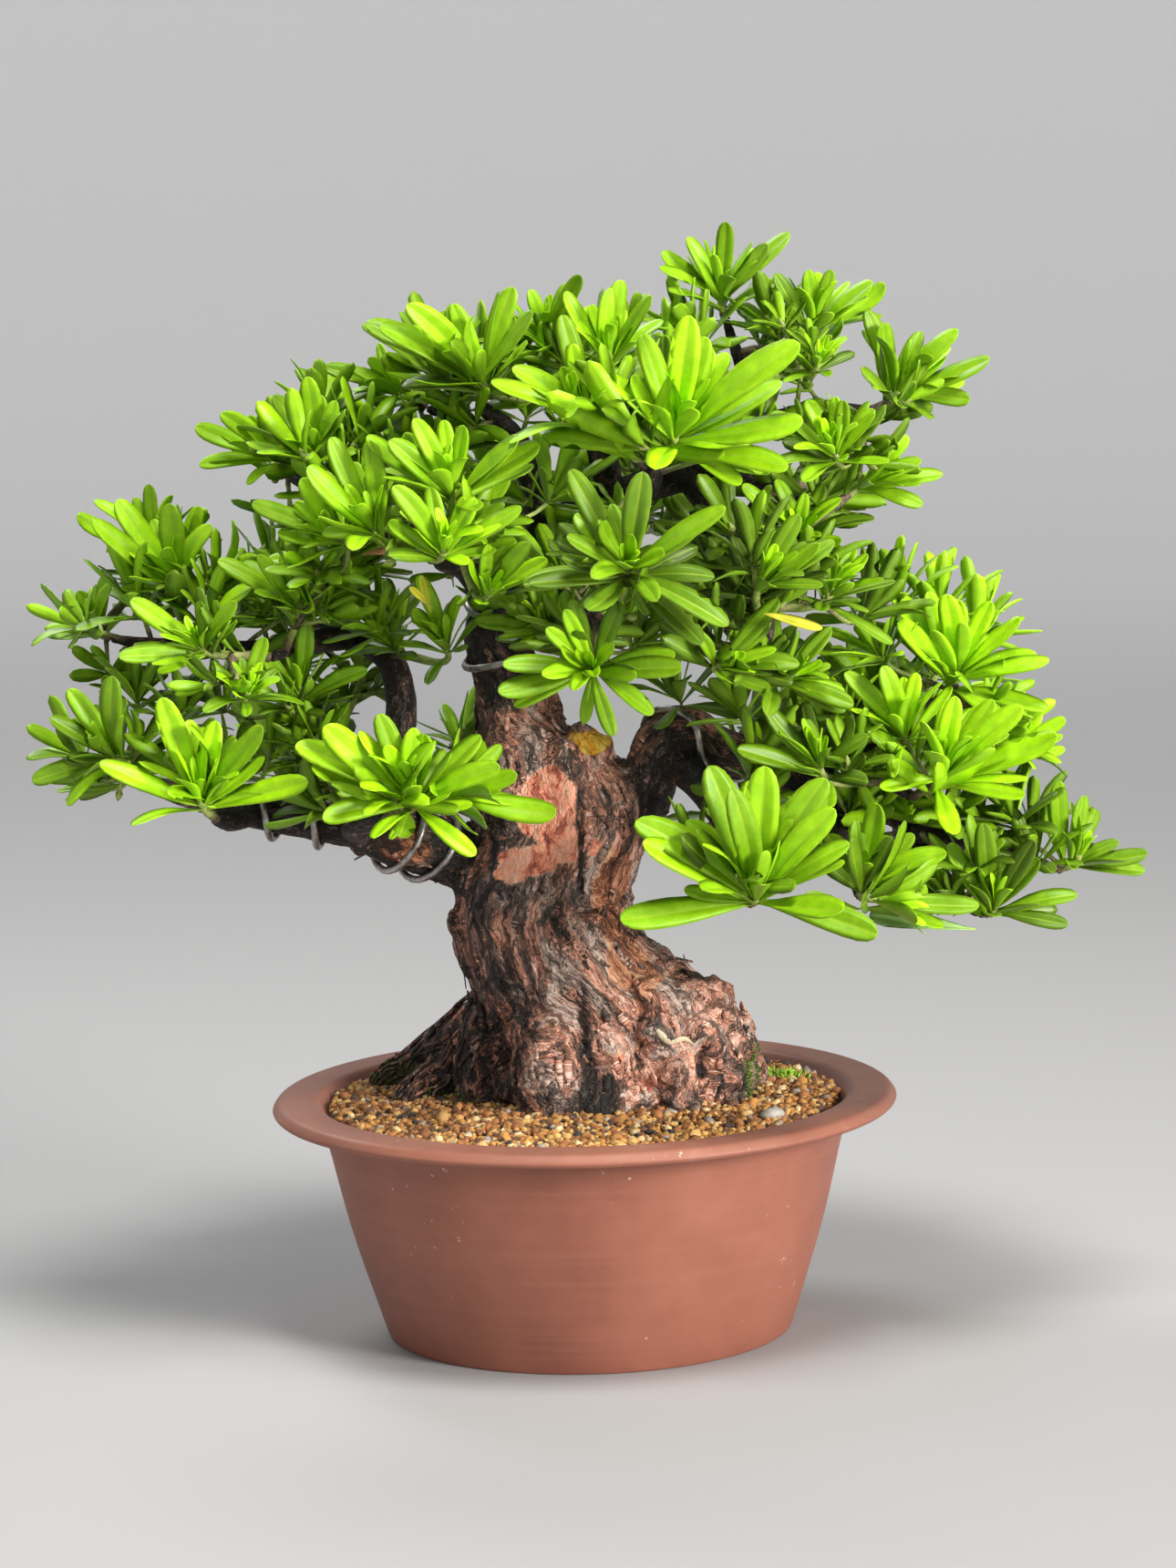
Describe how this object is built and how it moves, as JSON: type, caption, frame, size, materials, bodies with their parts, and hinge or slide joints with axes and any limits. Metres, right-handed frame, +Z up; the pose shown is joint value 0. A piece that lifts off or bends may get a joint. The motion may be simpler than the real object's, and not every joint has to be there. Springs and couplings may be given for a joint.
{
  "type": "buddhist pine bonsai in a clay pot",
  "caption": "Buddhist pine bonsai with a thick flaking trunk, leafy whorled shoots and training wire, standing in a round clay pot of gravelly soil.",
  "frame": {"origin": "middle of the footprint of the whole tree, on the surface that the pot stands on", "axes": "+Z up, the front that the picture shows faces -Y, +X to the viewer's right"},
  "size_m": [0.5204, 0.3513, 0.5279],
  "materials": {
    "clay": "matte",
    "soil": "matte",
    "pebble": "matte",
    "bark": "matte",
    "wire": "satin",
    "leaf": "satin"
  },
  "bodies": {
    "root": {"pebble": "pebble", "pot": "clay", "soil": "soil", "spray_centre_front": "leaf", "spray_centre_front_back": "leaf", "spray_centre_low": "leaf", "spray_centre_low_back": "leaf", "spray_crown_front_left": "leaf", "spray_crown_front_left_back": "leaf", "spray_crown_front_right": "leaf", "spray_crown_front_right_back": "leaf", "spray_crown_left": "leaf", "spray_crown_mid": "leaf", "spray_crown_mid_back": "leaf", "spray_crown_peak": "leaf", "spray_crown_right": "leaf", "spray_left_high_front": "leaf", "spray_left_high_front_back": "leaf", "spray_left_high_inner": "leaf", "spray_left_high_inner_back": "leaf", "spray_left_high_low": "leaf", "spray_left_high_tip": "leaf", "spray_left_low_front": "leaf", "spray_left_low_front_back": "leaf", "spray_left_low_inner": "leaf", "spray_left_low_inner_back": "leaf", "spray_left_low_mid": "leaf", "spray_left_low_mid_back": "leaf", "spray_left_low_tip": "leaf", "spray_left_mid_front": "leaf", "spray_left_mid_front_back": "leaf", "spray_left_mid_inner": "leaf", "spray_left_mid_inner_back": "leaf", "spray_left_mid_tip": "leaf", "spray_left_mid_top": "leaf", "spray_right_front": "leaf", "spray_right_front_back": "leaf", "spray_right_front_outer": "leaf", "spray_right_high_low": "leaf", "spray_right_high_low_back": "leaf", "spray_right_high_tip": "leaf", "spray_right_low_tip": "leaf", "spray_right_low_tip_back": "leaf", "spray_right_mid_front": "leaf", "spray_right_mid_front_back": "leaf", "spray_right_mid_inner": "leaf", "spray_right_mid_inner_back": "leaf", "spray_right_mid_low": "leaf", "spray_right_mid_low_back": "leaf", "spray_right_mid_tip": "leaf", "spray_right_mid_top": "leaf", "spray_right_mid_top_back": "leaf", "spray_right_tip": "leaf", "trunk": "bark", "wire_leader": "wire", "wire_left_inner": "wire", "wire_left_outer": "wire", "wire_right": "wire"}
  },
  "joints": []
}
